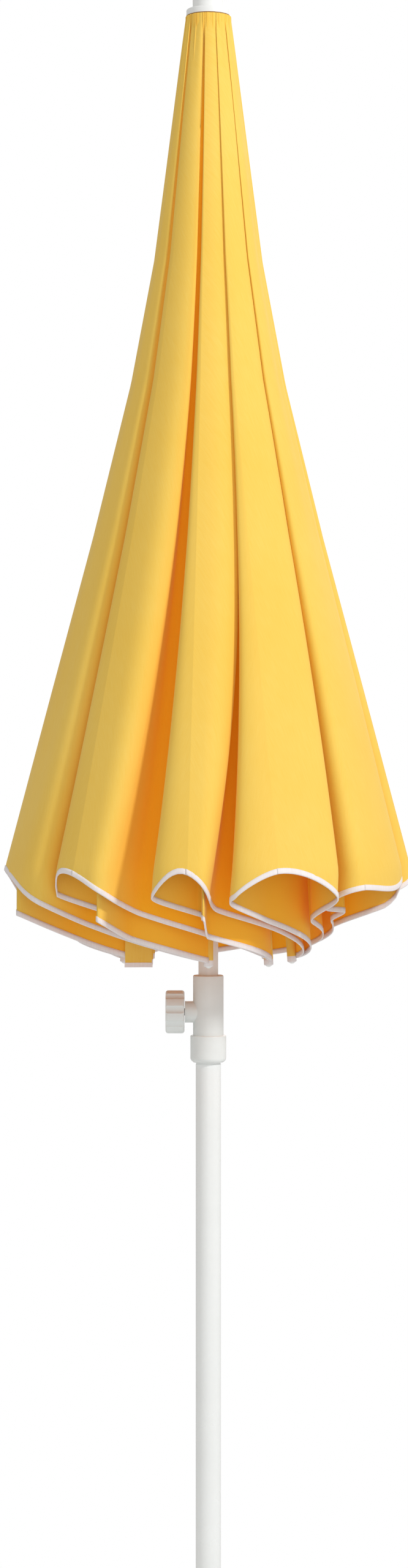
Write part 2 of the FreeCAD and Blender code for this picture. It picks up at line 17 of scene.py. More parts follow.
import bpy
import numpy as np
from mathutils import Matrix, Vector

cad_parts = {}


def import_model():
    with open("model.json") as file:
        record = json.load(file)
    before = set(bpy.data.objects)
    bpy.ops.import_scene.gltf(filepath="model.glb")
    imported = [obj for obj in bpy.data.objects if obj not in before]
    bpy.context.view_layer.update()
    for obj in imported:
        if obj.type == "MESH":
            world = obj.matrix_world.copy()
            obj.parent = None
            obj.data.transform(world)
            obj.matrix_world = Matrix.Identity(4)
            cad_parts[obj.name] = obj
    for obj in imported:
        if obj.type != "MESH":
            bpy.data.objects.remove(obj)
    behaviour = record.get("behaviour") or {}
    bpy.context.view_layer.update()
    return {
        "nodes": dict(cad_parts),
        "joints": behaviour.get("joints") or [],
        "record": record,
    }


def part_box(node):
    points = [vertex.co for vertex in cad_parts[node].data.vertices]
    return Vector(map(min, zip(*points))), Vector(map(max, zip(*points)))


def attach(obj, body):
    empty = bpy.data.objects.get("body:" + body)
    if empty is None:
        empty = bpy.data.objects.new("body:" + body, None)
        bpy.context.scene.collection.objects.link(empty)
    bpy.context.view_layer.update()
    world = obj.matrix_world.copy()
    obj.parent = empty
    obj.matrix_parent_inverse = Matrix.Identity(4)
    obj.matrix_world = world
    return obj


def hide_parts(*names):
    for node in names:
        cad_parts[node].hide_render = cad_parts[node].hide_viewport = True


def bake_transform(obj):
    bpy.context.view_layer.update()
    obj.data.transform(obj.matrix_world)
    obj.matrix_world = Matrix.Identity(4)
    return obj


log = logging.getLogger("parasol")

Triple = tuple[float, float, float]
Node, Tree, Socket = bpy.types.Node, bpy.types.NodeTree, bpy.types.NodeSocket
Piece, Mesh = bpy.types.Object, bpy.types.Mesh

RIBS = 8
RIB_STEP = 360.0 / RIBS
UP = np.array([0.0, 0.0, 1.0])
MM = 1000.0
TINY = 1e-9
"""The least length a vector is divided by."""
CUT = "cut"
"""The map that holds each vertex's place on the flat cloth, in metres."""


class Layer(Enum):
    """Which half of a folded gore a sheet is."""

    INNER = "inner"
    OUTER = "outer"

    @property
    def ribs_on(self) -> int:
        """How many ribs past the gore's own number the sheet is sewn to."""
        return 1 if self is Layer.OUTER else 0


class Axis(Enum):
    """A coordinate axis, by its index."""

    X = 0
    Y = 1
    Z = 2


def outward(degrees: float) -> np.ndarray:
    """The level direction away from the pole at an azimuth."""
    angle = math.radians(degrees)
    return np.array([math.cos(angle), math.sin(angle), 0.0])


def unit(vectors: np.ndarray) -> np.ndarray:
    """The vectors along the last axis, each brought to length 1."""
    return vectors / np.maximum(np.linalg.norm(vectors, axis=-1, keepdims=True), TINY)


# ---------------------------------------------------------------- shader building blocks


def fill(tree: Tree, slot: Socket, value: object) -> None:
    """Links a socket into an input, or sets the input to a value."""
    if isinstance(value, Socket):
        tree.links.new(value, slot)
    else:
        slot.default_value = value


class Effects:
    """The shader node groups that several finishes share, each built once."""

    @staticmethod
    def group(name: str, inputs: dict[str, float], outputs: tuple[str, ...]) -> tuple[Tree, Node, Node]:
        """Makes a node group with its sockets.

        Args:
            name: The group's name.
            inputs: Its number inputs with their defaults; "Vector" is always the first input.
            outputs: Its number outputs.

        Returns:
            The group, its input node and its output node.
        """
        tree = bpy.data.node_groups.new(name, "ShaderNodeTree")
        tree.interface.new_socket("Vector", in_out="INPUT", socket_type="NodeSocketVector")
        for label, default in inputs.items():
            socket = tree.interface.new_socket(label, in_out="INPUT", socket_type="NodeSocketFloat")
            socket.default_value = default
        for label in outputs:
            tree.interface.new_socket(label, in_out="OUTPUT", socket_type="NodeSocketFloat")
        return tree, tree.nodes.new("NodeGroupInput"), tree.nodes.new("NodeGroupOutput")

    @staticmethod
    def maths(tree: Tree, operation: str, *values: object) -> Socket:
        """Adds a Math node.

        Args:
            tree: The tree it goes in.
            operation: The node's operation.
            values: Its inputs, each a socket or a number.

        Returns:
            The node's result socket.
        """
        node = tree.nodes.new("ShaderNodeMath")
        node.operation = operation
        for slot, value in zip(node.inputs, values):
            fill(tree, slot, value)
        return node.outputs[0]

    @staticmethod
    def noise(tree: Tree, vector: Socket, scale: object, detail: float) -> Socket:
        """Adds a Noise Texture.

        Args:
            tree: The tree it goes in.
            vector: Where it reads its place from.
            scale: Its scale, as a number or a socket.
            detail: Its detail.

        Returns:
            The noise's value, about 0.5 on average.
        """
        node = tree.nodes.new("ShaderNodeTexNoise")
        for label, value in (("Vector", vector), ("Scale", scale), ("Detail", detail)):
            fill(tree, node.inputs[label], value)
        return node.outputs["Fac"]

    @staticmethod
    def stretch(tree: Tree, vector: Socket, axis: Axis, share: float) -> Socket:
        """Draws a texture's places out along one axis, by scaling them down there."""
        node = tree.nodes.new("ShaderNodeMapping")
        scale = [1.0, 1.0, 1.0]
        scale[axis.value] = share
        node.inputs["Scale"].default_value = scale
        tree.links.new(vector, node.inputs["Vector"])
        return node.outputs[0]

    @staticmethod
    def split(tree: Tree, vector: Socket) -> bpy.types.NodeOutputs:
        """The X, Y and Z sockets of a vector."""
        node = tree.nodes.new("ShaderNodeSeparateXYZ")
        tree.links.new(vector, node.inputs[0])
        return node.outputs

    @classmethod
    @cache
    def weave(cls) -> Tree:
        """A plain weave on a map in metres: Threads per metre in, thread Height and a slub mask out."""
        inputs = {"Threads": 1400.0, "Slub": 0.4}
        tree, src, out = cls.group("parasol_weave", inputs, ("Height", "Slubs"))
        across = cls.split(tree, src.outputs["Vector"])
        waves = []
        for axis in ("X", "Y"):
            count = cls.maths(tree, "MULTIPLY", across[axis], src.outputs["Threads"])
            sine = cls.maths(tree, "SINE", cls.maths(tree, "MULTIPLY", count, math.pi))
            waves.append(cls.maths(tree, "ABSOLUTE", sine))
        height = cls.maths(tree, "MAXIMUM", *waves)
        drawn_out = cls.stretch(tree, src.outputs["Vector"], Axis.Y, 0.06)
        slubs = cls.noise(tree, drawn_out, 900.0, 2.0)
        thick = cls.maths(tree, "MULTIPLY", slubs, src.outputs["Slub"])
        tree.links.new(cls.maths(tree, "ADD", height, thick), out.inputs["Height"])
        tree.links.new(slubs, out.inputs["Slubs"])
        return tree

    @classmethod
    @cache
    def grain(cls) -> Tree:
        """A moulded or sprayed surface: Scale in, a fine Height and a broad Mottle out."""
        tree, src, out = cls.group("parasol_grain", {"Scale": 900.0}, ("Height", "Mottle"))
        vector, scale = src.outputs["Vector"], src.outputs["Scale"]
        broad = cls.maths(tree, "MULTIPLY", scale, 0.02)
        tree.links.new(cls.noise(tree, vector, scale, 2.0), out.inputs["Height"])
        tree.links.new(cls.noise(tree, vector, broad, 3.0), out.inputs["Mottle"])
        return tree

    @classmethod
    @cache
    def dust(cls) -> Tree:
        """Settled dust and handling marks: Amount in, a Mask out that is strongest on upward faces."""
        tree, src, out = cls.group("parasol_dust", {"Amount": 0.5}, ("Mask",))
        cloud = cls.noise(tree, src.outputs["Vector"], 14.0, 5.0)
        spots = cls.noise(tree, src.outputs["Vector"], 160.0, 2.0)
        facing = cls.split(tree, tree.nodes.new("ShaderNodeNewGeometry").outputs["Normal"])
        upward = cls.maths(tree, "MAXIMUM", facing["Z"], 0.25)
        mask = cls.maths(tree, "MULTIPLY", cls.maths(tree, "MULTIPLY", cloud, spots), upward)
        tree.links.new(cls.maths(tree, "MULTIPLY", mask, src.outputs["Amount"]), out.inputs["Mask"])
        return tree

    @classmethod
    @cache
    def edge_wear(cls) -> Tree:
        """Rubbed edges: Amount in, a Mask out along outward edges, broken up by noise."""
        tree, src, out = cls.group("parasol_edge_wear", {"Amount": 0.5}, ("Mask",))
        geometry = tree.nodes.new("ShaderNodeNewGeometry")
        span = tree.nodes.new("ShaderNodeMapRange")
        span.inputs["From Min"].default_value = 0.52
        span.inputs["From Max"].default_value = 0.62
        tree.links.new(geometry.outputs["Pointiness"], span.inputs["Value"])
        broken = cls.noise(tree, src.outputs["Vector"], 220.0, 4.0)
        mask = cls.maths(tree, "MULTIPLY", span.outputs[0], broken)
        tree.links.new(cls.maths(tree, "MULTIPLY", mask, src.outputs["Amount"]), out.inputs["Mask"])
        return tree


@dataclass
class ShaderTree:
    """One material's node tree, with short calls for what every finish does."""

    material: bpy.types.Material

    def __post_init__(self) -> None:
        """Clears the tree and adds the Principled shader and its output."""
        self.material.use_nodes = True
        self.tree = self.material.node_tree
        self.tree.nodes.clear()
        self.shader = self.tree.nodes.new("ShaderNodeBsdfPrincipled")
        output = self.tree.nodes.new("ShaderNodeOutputMaterial")
        self.tree.links.new(self.shader.outputs[0], output.inputs["Surface"])

    def place(self, group: Tree, vector: Socket, **values: float) -> bpy.types.NodeOutputs:
        """Places an effect.

        Args:
            group: The node group.
            vector: Where it reads its place from.
            values: Its inputs.

        Returns:
            The effect's outputs.
        """
        node = self.tree.nodes.new("ShaderNodeGroup")
        node.node_tree = group
        self.tree.links.new(vector, node.inputs["Vector"])
        for label, value in values.items():
            node.inputs[label].default_value = value
        return node.outputs

    def mix(self, factor: Socket, first: object, second: object) -> Socket:
        """Mixes two colours, each a socket or an RGB triple, and gives the result socket."""
        node = self.tree.nodes.new("ShaderNodeMix")
        node.data_type = "RGBA"
        for slot, value in ((node.inputs[0], factor), (node.inputs[6], first), (node.inputs[7], second)):
            fill(self.tree, slot, (*value, 1.0) if isinstance(value, tuple) else value)
        return node.outputs[2]

    def spread(
        self, value: Socket, low: float, high: float, start: float = 0.3, end: float = 0.7,
    ) -> Socket:
        """Maps a mask from start..end to low..high and gives the result socket."""
        node = self.tree.nodes.new("ShaderNodeMapRange")
        for label, number in (("From Min", start), ("From Max", end), ("To Min", low), ("To Max", high)):
            node.inputs[label].default_value = number
        self.tree.links.new(value, node.inputs["Value"])
        return node.outputs[0]

    def bump(self, height: Socket, strength: float, distance: float) -> None:
        """Feeds a height into the shader's normal, after any bump that is there."""
        node = self.tree.nodes.new("ShaderNodeBump")
        for label, value in (("Strength", strength), ("Distance", distance), ("Height", height)):
            fill(self.tree, node.inputs[label], value)
        before = self.shader.inputs["Normal"].links
        if before:
            self.tree.links.new(before[0].from_socket, node.inputs["Normal"])
        self.tree.links.new(node.outputs[0], self.shader.inputs["Normal"])

    def feed(self, **values: object) -> None:
        """Links or sets the shader's inputs, named with underscores in place of spaces."""
        for label, value in values.items():
            fill(self.tree, self.shader.inputs[label.replace("_", " ")], value)

    def coordinates(self) -> Socket:
        """Object coordinates, in metres."""
        return self.tree.nodes.new("ShaderNodeTexCoord").outputs["Object"]


# ---------------------------------------------------------------- finishes


@dataclass(frozen=True)
class Finish:
    """A finish that can be built as a material."""

    name: str
    colour: Triple

    def build(self) -> bpy.types.Material:
        """Builds the material, once for each name."""
        found = bpy.data.materials.get(self.name)
        if found:
            return found
        material = bpy.data.materials.new(self.name)
        self.dress(ShaderTree(material))
        material.diffuse_color = (*self.colour, 1.0)
        return material

    def dress(self, shader: ShaderTree) -> None:
        """Adds the finish's own nodes."""
        raise NotImplementedError


DUST_COLOUR: Triple = (0.42, 0.38, 0.32)
BLACK: Triple = (0.0, 0.0, 0.0)


@dataclass(frozen=True)
class MouldedFinish(Finish):
    """Moulded plastic or sprayed paint: fine grain, faint mottle, dust and rubbed edges."""

    shade: Triple
    roughness: float = 0.4
    grain_scale: float = 900.0
    grain_depth: float = 0.00004
    dust: float = 0.35
    wear: float = 0.3
    coat: float = 0.0

    def dress(self, shader: ShaderTree) -> None:
        """Adds grain, mottle, dust and wear."""
        place = shader.coordinates()
        grain = shader.place(Effects.grain(), place, Scale=self.grain_scale)
        dust = shader.place(Effects.dust(), place, Amount=self.dust)
        wear = shader.place(Effects.edge_wear(), place, Amount=self.wear)
        mottled = shader.mix(shader.spread(grain["Mottle"], 0.0, 0.22), self.colour, self.shade)
        rubbed = shader.mix(wear["Mask"], mottled, self.shade)
        shader.feed(
            Base_Color=shader.mix(dust["Mask"], rubbed, DUST_COLOUR),
            Roughness=shader.spread(grain["Mottle"], self.roughness - 0.05, self.roughness + 0.09),
            Coat_Weight=self.coat,
            Coat_Roughness=0.12,
        )
        shader.bump(grain["Height"], 0.5, self.grain_depth)


@dataclass(frozen=True)
class DrawnSteelFinish(Finish):
    """Plated or painted steel with fine marks along its length."""

    shade: Triple
    roughness: float = 0.34
    metallic: float = 1.0
    along: Axis = Axis.Z
    wear: float = 0.5

    def dress(self, shader: ShaderTree) -> None:
        """Adds drawn marks and rubbed edges."""
        place = shader.coordinates()
        drawn_out = Effects.stretch(shader.tree, place, self.along, 0.03)
        marks = shader.place(Effects.grain(), drawn_out, Scale=1400.0)
        wear = shader.place(Effects.edge_wear(), place, Amount=self.wear)
        tint = shader.mix(shader.spread(marks["Mottle"], 0.0, 0.5), self.colour, self.shade)
        shader.feed(
            Base_Color=shader.mix(wear["Mask"], tint, self.shade),
            Roughness=shader.spread(marks["Height"], self.roughness - 0.06, self.roughness + 0.12),
            Metallic=self.metallic,
        )
        shader.bump(marks["Height"], 0.4, 0.00003)


@dataclass(frozen=True)
class ClothFinish(Finish):
    """Woven polyester on the piece's own map in metres, with sewn lines, faint sun fading, and painted
    shade and glow deep in the valleys between lobes.
    """

    faded: Triple
    deep: Triple
    # Painted shade: the darker, deeper orange that the cloth turns, and glows with, deep in the valleys
    # between lobes.
    valley_shade_glow: Triple = (0.92, 0.40, 0.012)
    threads: float = 1300.0
    weave_depth: float = 0.00012
    sheen: float = 0.1
    # Painted glow: how strongly the cloth glows deep in the valleys, though it is no lamp.
    glow: float = 0.12
    sewn: bool = True
    seam_away: float = 0.006
    seam_half_width: float = 0.0006
    stitch_length: float = 0.0035
    stitch_depth: float = 0.0004

    def dress(self, shader: ShaderTree) -> None:
        """Adds the weave, a rumpled surface, the fade, the painted valley shade and glow, and the sewn
        lines.
        """
        uv = shader.tree.nodes.new("ShaderNodeUVMap")
        uv.uv_map = CUT
        weave = shader.place(Effects.weave(), uv.outputs[0], Threads=self.threads)
        grain = shader.place(Effects.grain(), shader.coordinates(), Scale=300.0)
        fade = shader.mix(shader.spread(grain["Mottle"], 0.0, 1.0, 0.35, 0.65), self.colour, self.faded)
        # Painted shade and glow: deep between the lobes the cloth is tinted a darker orange and made to
        # glow, standing in for light that bounces in the folds and passes through the cloth.
        valley_shade_glow = shader.tree.nodes.new("ShaderNodeAttribute")
        valley_shade_glow.attribute_name = "valley_shade_glow"
        depth = valley_shade_glow.outputs["Fac"]
        tone = shader.mix(depth, fade, self.valley_shade_glow)
        shader.feed(
            Base_Color=shader.mix(shader.spread(weave["Slubs"], 0.0, 0.25), tone, self.deep),
            Roughness=shader.spread(weave["Slubs"], 0.72, 0.86),
            Sheen_Weight=self.sheen,
            Sheen_Roughness=0.45,
            Specular_IOR_Level=0.18,
            Emission_Color=shader.mix(depth, BLACK, self.valley_shade_glow),
            Emission_Strength=self.glow,
        )
        shader.bump(grain["Mottle"], 0.35, 0.0012)
        shader.bump(weave["Height"], 0.35, self.weave_depth)
        if self.sewn:
            self.sew(shader, uv.outputs[0])

    def sew(self, shader: ShaderTree, cut: Socket) -> None:
        """Adds the row of stitches that runs beside the seam over the rib, as bump.

        Args:
            shader: The material's tree.
            cut: The map in metres, with the seam at 0 across.
        """
        tree = shader.tree
        place = Effects.split(tree, cut)
        away = Effects.maths(tree, "SUBTRACT", place["X"], self.seam_away)
        away = Effects.maths(tree, "ABSOLUTE", away)
        line = Effects.maths(tree, "LESS_THAN", away, self.seam_half_width)
        turn = Effects.maths(tree, "MULTIPLY", place["Y"], 2.0 * math.pi / self.stitch_length)
        stitch = Effects.maths(tree, "GREATER_THAN", Effects.maths(tree, "SINE", turn), -0.4)
        shader.bump(Effects.maths(tree, "MULTIPLY", line, stitch), 0.6, -self.stitch_depth)


POLE_PAINT = MouldedFinish(
    "pole_powder_coat", (0.90, 0.92, 0.915), (0.78, 0.80, 0.79),
    roughness=0.3, grain_scale=1500.0, grain_depth=0.00003, dust=0.25, wear=0.15, coat=0.25,
)
CLAMP_PLASTIC = MouldedFinish(
    "clamp_moulded_white", (0.84, 0.87, 0.86), (0.70, 0.72, 0.71),
    roughness=0.42, grain_scale=2200.0, grain_depth=0.00005,
)
CAP_PLASTIC = MouldedFinish(
    "cap_gloss_white", (0.90, 0.91, 0.90), (0.7, 0.7, 0.68),
    roughness=0.26, grain_scale=1200.0, grain_depth=0.00002, coat=0.2,
)
HUB_PLASTIC = MouldedFinish(
    "hub_moulded_white", (0.74, 0.75, 0.72), (0.58, 0.58, 0.55), roughness=0.46, grain_scale=1800.0,
)
BUSH_PLASTIC = MouldedFinish(
    "bush_dark_grey", (0.08, 0.085, 0.09), (0.16, 0.16, 0.16),
    roughness=0.5, grain_scale=1800.0, wear=0.6,
)
FLOOR_PAINT = MouldedFinish(
    "studio_pale_floor", (0.86, 0.86, 0.85), (0.8, 0.8, 0.79), roughness=0.8, grain_scale=200.0,
)
ZINC_STEEL = DrawnSteelFinish("zinc_plated_steel", (0.62, 0.63, 0.64), (0.4, 0.4, 0.38))
RIB_STEEL = DrawnSteelFinish(
    "painted_rib_steel", (0.80, 0.80, 0.78), (0.55, 0.54, 0.5), roughness=0.42, metallic=0.0,
)
CANOPY_CLOTH = ClothFinish(
    "canopy_yellow_weave", (0.90, 0.59, 0.105), (0.91, 0.62, 0.13), (0.86, 0.50, 0.05),
)
# Painted shade: the crown patch is coloured dark brown so that it shows as the shadowed line under the
# collar.
PATCH_SHADE_CLOTH = ClothFinish(
    "patch_painted_shade_weave", (0.36, 0.19, 0.06), (0.40, 0.22, 0.08), (0.3, 0.13, 0.03), glow=0.0, sewn=False,
)
BINDING_CLOTH = ClothFinish(
    "hem_binding_white", (0.86, 0.80, 0.80), (0.9, 0.86, 0.86), (0.7, 0.6, 0.58),
    threads=1000.0, glow=0.0, sewn=False,
)

FRAME_FINISHES: dict[str, Finish] = {
    "pole_paint": POLE_PAINT,
    "clamp_plastic": CLAMP_PLASTIC,
    "cap_plastic": CAP_PLASTIC,
    "hub_plastic": HUB_PLASTIC,
    "bush_plastic": BUSH_PLASTIC,
    "zinc_steel": ZINC_STEEL,
    "rib_steel": RIB_STEEL,
    "canopy_cloth": CANOPY_CLOTH,
    "patch_cloth": PATCH_SHADE_CLOTH,
}


# ---------------------------------------------------------------- canopy


@dataclass(frozen=True)
class Hinge:
    """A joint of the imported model, as it stands at rest."""

    place: np.ndarray
    axis: np.ndarray
    limit: float

    @classmethod
    def of(cls, joints: list[dict], child: str) -> "Hinge":
        """The joint that carries a body.

        Args:
            joints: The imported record's joints.
            child: The body's name.

        Returns:
            Its hinge, with its upper limit in radians.
        """
        found = next(j for j in joints if j["child"] == child)
        axis = np.array(found["axis"], float)
        place, limit = np.array(found["pos_m"], float), math.radians(found["range_deg"][1])
        return cls(place, axis / np.linalg.norm(axis), limit)

    def turned(self, points: np.ndarray, angle: object) -> np.ndarray:
        """Points turned about the hinge, by one angle or by one angle each."""
        arm = points - self.place
        c = np.cos(angle)[..., None] if np.ndim(angle) else math.cos(angle)
        s = np.sin(angle)[..., None] if np.ndim(angle) else math.sin(angle)
        dot = (arm @ self.axis)[..., None]
        return self.place + arm * c + np.cross(self.axis, arm) * s + self.axis * dot * (1 - c)


@dataclass(frozen=True)
class Fold:
    """How one gore is folded: where its middle line lies, and how its two halves run from there."""

    azimuth: float
    radius: float
    shoulder: float
    overshoot: float
    ripple: float = 0.0
    arch: float = 0.016
    peak: float = 0.5
    left_turn: float = 0.0
    right_turn: float = 0.0

    def turn(self, degrees: np.ndarray, layer: Layer) -> np.ndarray:
        """How far each column has turned round the pole at the crown, against the hem.

        Args:
            degrees: Each column's angle from the fold, from the rib's seam to the fold.
            layer: Which half.

        Returns:
            The turn in degrees at each column, 0 on the seam and on the fold.
        """
        column = np.arange(len(degrees))
        if layer is Layer.OUTER:
            edge = int(np.argmin(np.abs(degrees - self.shoulder - 2)))
            most = self.right_turn
        else:
            edge = int(np.argmin(degrees))
            most = self.left_turn
        return most * np.interp(column, [0, edge, column[-1]], [0.0, 1.0, 0.0])

    def lift(self, degrees: np.ndarray, layer: Layer) -> np.ndarray:
        """How far the hem arches up along the lobe's outside.

        Args:
            degrees: Each column's angle from the fold, from the rib's seam to the fold.
            layer: Which half.

        Returns:
            The rise in metres at each column.
        """
        span = np.clip((degrees + self.overshoot) / (self.shoulder + 2 + self.overshoot), 0, 1)
        rise = self.arch * np.sin(np.pi * span ** (math.log(0.5) / math.log(self.peak)))
        outside = np.arange(len(degrees)) >= (0 if layer is Layer.OUTER else int(np.argmin(degrees)))
        return np.where(outside, rise, 0.0)


@dataclass
class Canopy:
    """The folded canopy: eight gores, each wrapped clockwise round the ribs, with a bound hem."""

    folds: tuple[Fold, ...] = (
        Fold(-70.0, 0.2165, 21.0, 12.5, 0.0, 0.020, 0.45, 15.0, 10.0),
        Fold(-40.0, 0.220, 35.0, 4.0, 0.12, 0.020, 0.85, 5.0, 1.0),
        Fold(4.0, 0.227, 42.0, 3.0, 0.25, 0.016, 0.4),
        Fold(63.0, 0.225, 44.0, 8.0, 0.25, 0.018, 0.4),
        Fold(126.0, 0.225, 44.0, 8.0, 0.25, 0.018, 0.5),
        Fold(188.0, 0.227, 24.0, 6.0, 0.45, 0.018, 0.2, 0.0, 5.0),
        Fold(228.0, 0.216, 8.0, 11.0, 0.38, 0.020, 0.25, 5.5, 20.0),
        Fold(264.0, 0.213, 4.0, 11.0, 0.38, 0.020, 0.5, 12.0, 27.0),
    )
    crown_z: float = 2.118
    pivot_r: float = 0.017
    tilt: float = math.radians(4.2)
    opening: float = math.radians(68.0)
    rib_length: float = 1.040
    hem_z: float = 1.163
    top_z: float = 2.1307
    collar_z: float = 2.132
    seam_lift: float = 0.0048
    hub_clear: float = 0.0247
    half_width: float = 0.386
    gore_height: float = 0.965
    seam_ring: float = 0.095
    profile: tuple[tuple[float, float], ...] = (
        (0.0, 0.11), (0.035, 0.131), (0.172, 0.209), (0.274, 0.268),
        (0.411, 0.382), (0.582, 0.568), (0.752, 0.769), (0.949, 1.0),
    )
    columns: int = 60
    rows: int = 110
    binding_height: float = 0.0052
    binding_thickness: float = 0.0016
    binding_overlap: float = 0.002
    binding_lap: float = 0.0008
    binding_pucker: float = 0.0001
    crown_share: float = 0.04
    hub_swell: float = 0.0004
    pull_inner: float = 0.0012
    pull_outer: float = 0.0026
    pleat_depth: float = 0.0011
    pleat_down: float = 0.03
    pleat_reach: float = 0.05
    # Painted valley shade and glow: where across the half it starts, how fast it deepens, how much weaker
    # it is on the inner half, and how it fades near the crown.
    valley_from: float = 0.93
    valley_fall: float = 0.45
    valley_inner: float = 0.8
    valley_crown: float = 0.12
    valley_least: float = 0.25
    tried_columns: int = 31
    tried_rows: int = 9
    tried_weights: int = 51
    evenness: float = 0.3
    flatness: float = 0.5
    steadiness: float = 4000.0
    joints: list[dict] = field(default_factory=list)
    pockets: dict[int, Piece] = field(default_factory=dict)

    # ---- the folded shape ----

    def plan(self, gore: int, layer: Layer) -> np.ndarray:
        """A half's line round the pole, seen from above.

        Args:
            gore: The gore's index, from 0.
            layer: Which half.

        Returns:
            Rows of (degrees counterclockwise from the fold, share of the way from the ribs out
            to the fold), evenly spaced from the rib's seam to the fold.
        """
        fold, after = self.folds[gore], self.folds[(gore + 1) % RIBS]
        spacing = (after.azimuth - fold.azimuth) % 360.0
        seam = (gore + layer.ribs_on) * RIB_STEP - fold.azimuth
        b, o = fold.shoulder, fold.overshoot
        if layer is Layer.OUTER:
            middle = (spacing + 6 + seam) / 2
            line = [
                (0, 1), (0.5 * b, 0.99), (0.85 * b, 0.985), (b + 1, 0.94), (b + 2, 0.82), (b + 3, 0.62),
                (b + 6, 0.44), (spacing + 6, 0.38), (middle, 0.20), (seam, 0),
            ]
        else:
            middle = (6 + seam) / 2
            line = [
                (0, 1), (-0.6 * o, 0.985), (-o, 0.93), (-1.1 * o, 0.85), (-o, 0.74),
                (-0.5 * o, 0.62), (2, 0.52),
            ]
            if fold.ripple:
                start, wide, top = 3 + 0.1 * b, min(4.0, 0.3 * b), 0.50 + fold.ripple
                heights = (0.50, top, top, 0.46, 0.42)
                line += [(start + 0.5 * i * wide, height) for i, height in enumerate(heights)]
            else:
                line += [(6, 0.48)]
            if seam / 2 + 3 > line[-1][0]:
                line += [(middle, 0.30)]
            line += [(seam, 0)]
        points = np.array(line, float)
        for _ in range(3):
            cut = np.empty((2 * len(points) - 2, 2))
            cut[0::2] = 0.75 * points[:-1] + 0.25 * points[1:]
            cut[1::2] = 0.25 * points[:-1] + 0.75 * points[1:]
            points = np.vstack([points[:1], cut, points[-1:]])
        radius = self.seam_ring + points[:, 1] * (fold.radius - self.seam_ring)
        angle = np.radians(points[:, 0])
        flat = np.column_stack([radius * np.cos(angle), radius * np.sin(angle)])
        along = np.concatenate([[0], np.cumsum(np.linalg.norm(np.diff(flat, axis=0), axis=1))])
        wanted = np.linspace(along[-1], 0, self.columns + 1)
        return np.column_stack([np.interp(wanted, along, points[:, i]) for i in (0, 1)])

    def folded(self, gore: int, layer: Layer) -> np.ndarray:
        """The half-gore's grid of points as folded.

        Args:
            gore: The gore's index, from 0.
            layer: Which half.

        Returns:
            Rows of points from the crown to the hem, each from the rib to the fold.
        """
        fold = self.folds[gore]
        line = self.plan(gore, layer)
        across = np.linspace(0, 1, self.columns + 1)[None, :]
        down = np.linspace(0, 1, self.rows + 1)[:, None]
        seam_r = self.pivot_r + self.rib_length * math.sin(self.tilt) + self.seam_lift
        hem_r = seam_r + line[None, :, 1] * (fold.radius - seam_r)
        crest = math.hypot(self.crown_z - self.hem_z, fold.radius)
        droop = (1 - across ** 1.3) ** 1.5
        length = crest + (self.rib_length - crest) * droop
        hem = self.crown_z - np.sqrt(length ** 2 - hem_r ** 2)
        z = self.top_z + down * (hem - self.top_z) + fold.lift(line[:, 0], layer)[None, :] * down ** 6
        drops, shares = np.array(self.profile).T
        share = np.interp(np.minimum(self.collar_z - z, drops[-1]), drops, shares)
        rib = self.pivot_r + (self.crown_z - z) * math.tan(self.tilt) + self.seam_lift
        out = fold.radius * share
        radius = rib + line[None, :, 1] * (out - rib)
        radius = np.maximum(radius, self.hub_clear + self.hub_swell * line[None, :, 1])
        height = np.clip((z - self.hem_z) / (self.top_z - self.hem_z), 0, 1)
        turned = fold.turn(line[:, 0], layer)[None, :] * (1 - (1 - height) ** 2)
        azimuth = np.radians(fold.azimuth + line[None, :, 0] + turned)
        points = np.stack([radius * np.cos(azimuth), radius * np.sin(azimuth), z + 0 * azimuth], axis=-1)
        return self.rumpled(points, gore, layer, down, across)

    def rumpled(
        self, points: np.ndarray, gore: int, layer: Layer, down: np.ndarray, across: np.ndarray,
    ) -> np.ndarray:
        """Adds soft pulls down the cloth and the pleats gathered under the collar.

        Args:
            points: The smooth grid.
            gore: The gore's index.
            layer: Which half.
            down: Each row's share of the way down.
            across: Each column's share of the way to the fold.

        Returns:
            The grid with its points moved a few millimetres.
        """
        normal = unit(np.cross(np.gradient(points, axis=1), np.gradient(points, axis=0)))
        if np.sum(normal[..., :2] * points[..., :2], axis=-1).mean() <= 0:
            normal = -normal
        seed = gore * 2 + layer.ribs_on
        rng = np.random.default_rng(100 + seed)
        held = np.sin(np.pi * across) ** 0.8
        pulls = np.zeros(points.shape[:2])
        for _ in range(5):
            ranges = ((1.5, 7.0), (-1.2, 1.2), (0, 6.28), (0.4, 1.0))
            waves, drift, phase, size = (rng.uniform(*limits) for limits in ranges)
            pulls += size * np.sin(2 * np.pi * (waves * across + drift * down) + phase) / waves
        size = self.pull_outer if layer is Layer.OUTER else self.pull_inner
        moved = size * pulls * held * np.sin(np.pi * np.clip(down, 0.02, 1.0) ** 0.7 * 0.85)
        near_collar = np.exp(-((down - self.pleat_down) / self.pleat_reach) ** 2)
        pleats = self.pleat_depth * np.sin(2 * np.pi * (5 + seed % 3) * across + seed) * held * near_collar
        return points + normal * (moved + pleats)[..., None]

    # ---- how the cloth opens ----

